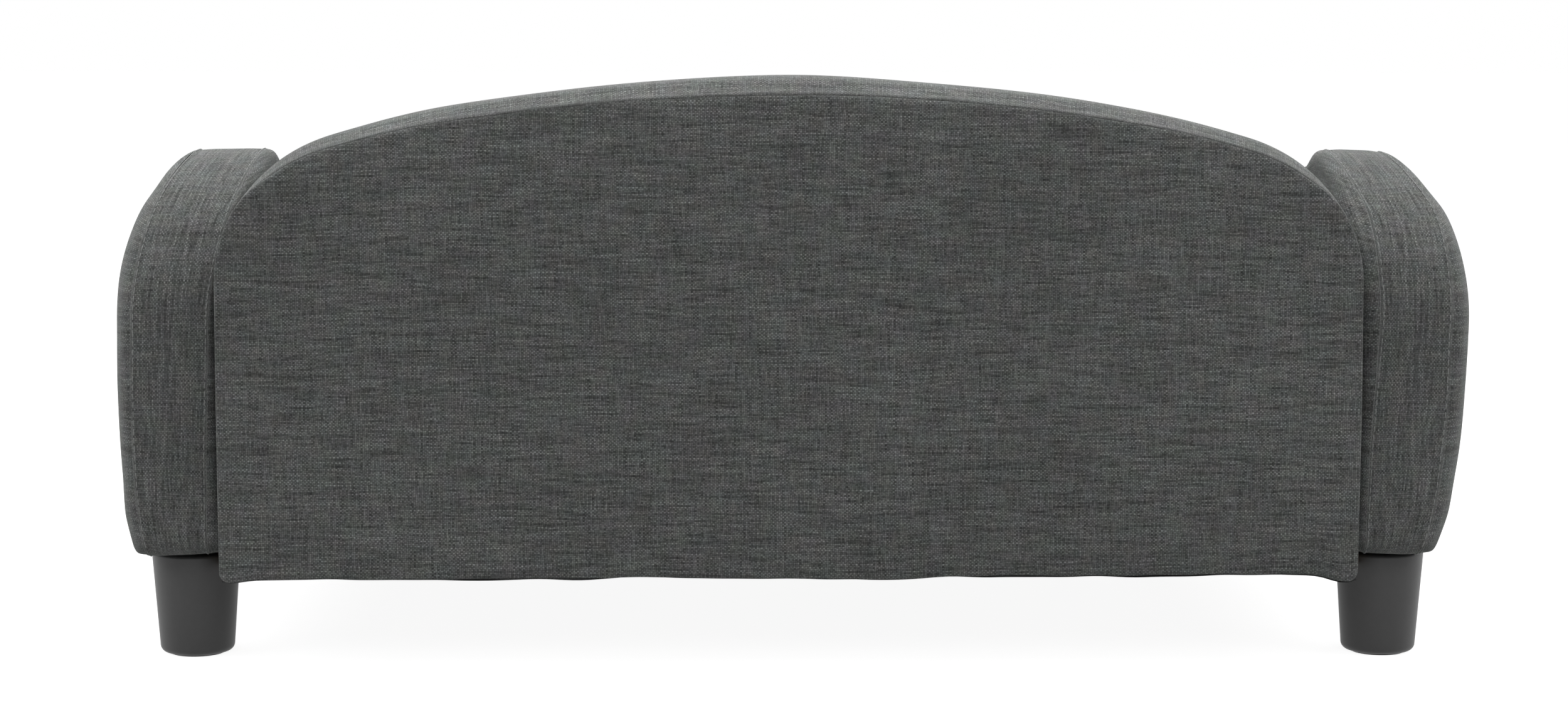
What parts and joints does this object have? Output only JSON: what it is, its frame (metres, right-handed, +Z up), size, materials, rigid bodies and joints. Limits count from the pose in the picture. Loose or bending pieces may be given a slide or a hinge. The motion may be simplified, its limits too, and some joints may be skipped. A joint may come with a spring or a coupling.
{
  "type": "pet sofa bed",
  "caption": "Low upholstered pet sofa bed on round tapered legs, with padded box arms, an arched backrest and a loose seat cushion with a zipped cover.",
  "frame": {"origin": "centre of the bed's bounding box, on the floor under the glides", "axes": "+Z up, +Y towards the backrest, +X towards the bed's left arm as seen from behind"},
  "size_m": [0.8, 0.5, 0.35],
  "materials": {
    "woven_cloth": "coarse charcoal plain weave with paler flecks",
    "black_cloth": "black nonwoven and zip tape",
    "foam": "open-cell foam",
    "wadding": "bonded polyester wadding",
    "plywood": "raw plywood",
    "pine": "sawn pine",
    "leg_plastic": "satin black moulded plastic",
    "washer_plastic": "matt black",
    "felt": "pressed felt",
    "zinc_steel": "zinc plated",
    "zip_metal": "black lacquered zip hardware"
  },
  "bodies": {
    "frame": {"left_arm_inner_plate": "plywood", "left_arm_outer_plate": "plywood", "left_arm_bottom_rail": "pine", "left_arm_top_rail": "pine", "left_arm_front_post": "pine", "left_arm_rear_post": "pine", "left_arm_outer_pad": "foam", "left_arm_inner_pad": "foam", "left_arm_edge_foam": "foam", "left_arm_outer_cover": "woven_cloth", "left_arm_inner_cover": "woven_cloth", "left_arm_boxing": "woven_cloth", "right_arm_inner_plate": "plywood", "right_arm_outer_plate": "plywood", "right_arm_bottom_rail": "pine", "right_arm_top_rail": "pine", "right_arm_front_post": "pine", "right_arm_rear_post": "pine", "right_arm_outer_pad": "foam", "right_arm_inner_pad": "foam", "right_arm_edge_foam": "foam", "right_arm_outer_cover": "woven_cloth", "right_arm_inner_cover": "woven_cloth", "right_arm_boxing": "woven_cloth", "back_board": "plywood", "back_hoop": "plywood", "back_bottom_rail": "pine", "back_left_post": "pine", "back_right_post": "pine", "back_front_foam": "foam", "back_edge_foam": "foam", "back_wadding": "wadding", "back_front_cover": "woven_cloth", "back_boxing": "woven_cloth", "back_rear_cover": "woven_cloth", "front_rail": "pine", "rear_rail": "pine", "left_side_rail": "pine", "right_side_rail": "pine", "centre_rail": "pine", "corner_blocks": "pine", "deck_board": "plywood", "front_pad": "foam", "seat_cover": "woven_cloth", "dust_cover": "black_cloth", "front_left_leg": "leg_plastic", "front_right_leg": "leg_plastic", "rear_left_leg": "leg_plastic", "rear_right_leg": "leg_plastic", "leg_glides": "felt", "leg_studs": "zinc_steel", "leg_washers": "washer_plastic", "frame_bolts": "zinc_steel", "tee_nuts": "zinc_steel", "insert_nuts": "zinc_steel"},
    "cushion": {"cushion_foam": "foam", "cushion_cover": "woven_cloth", "zip_chain": "black_cloth"},
    "zip_slider": {"zip_slider": "zip_metal"},
    "zip_pull": {"zip_pull": "zip_metal"}
  },
  "joints": [
    {"name": "cushion_lift_out", "type": "slide", "parent": "frame", "child": "cushion", "axis": [0, -0.9781, 0.2079], "range_m": [0, 0.28]},
    {"name": "zip_slide", "type": "slide", "parent": "cushion", "child": "zip_slider", "axis": [-1, 0, 0], "range_m": [0, 0.538]},
    {"name": "zip_pull_swing", "type": "hinge", "parent": "zip_slider", "child": "zip_pull", "pos_m": [0.2693, 0.1888, 0.144], "axis": [0, 0, -1], "range_deg": [0, 170]}
  ]
}
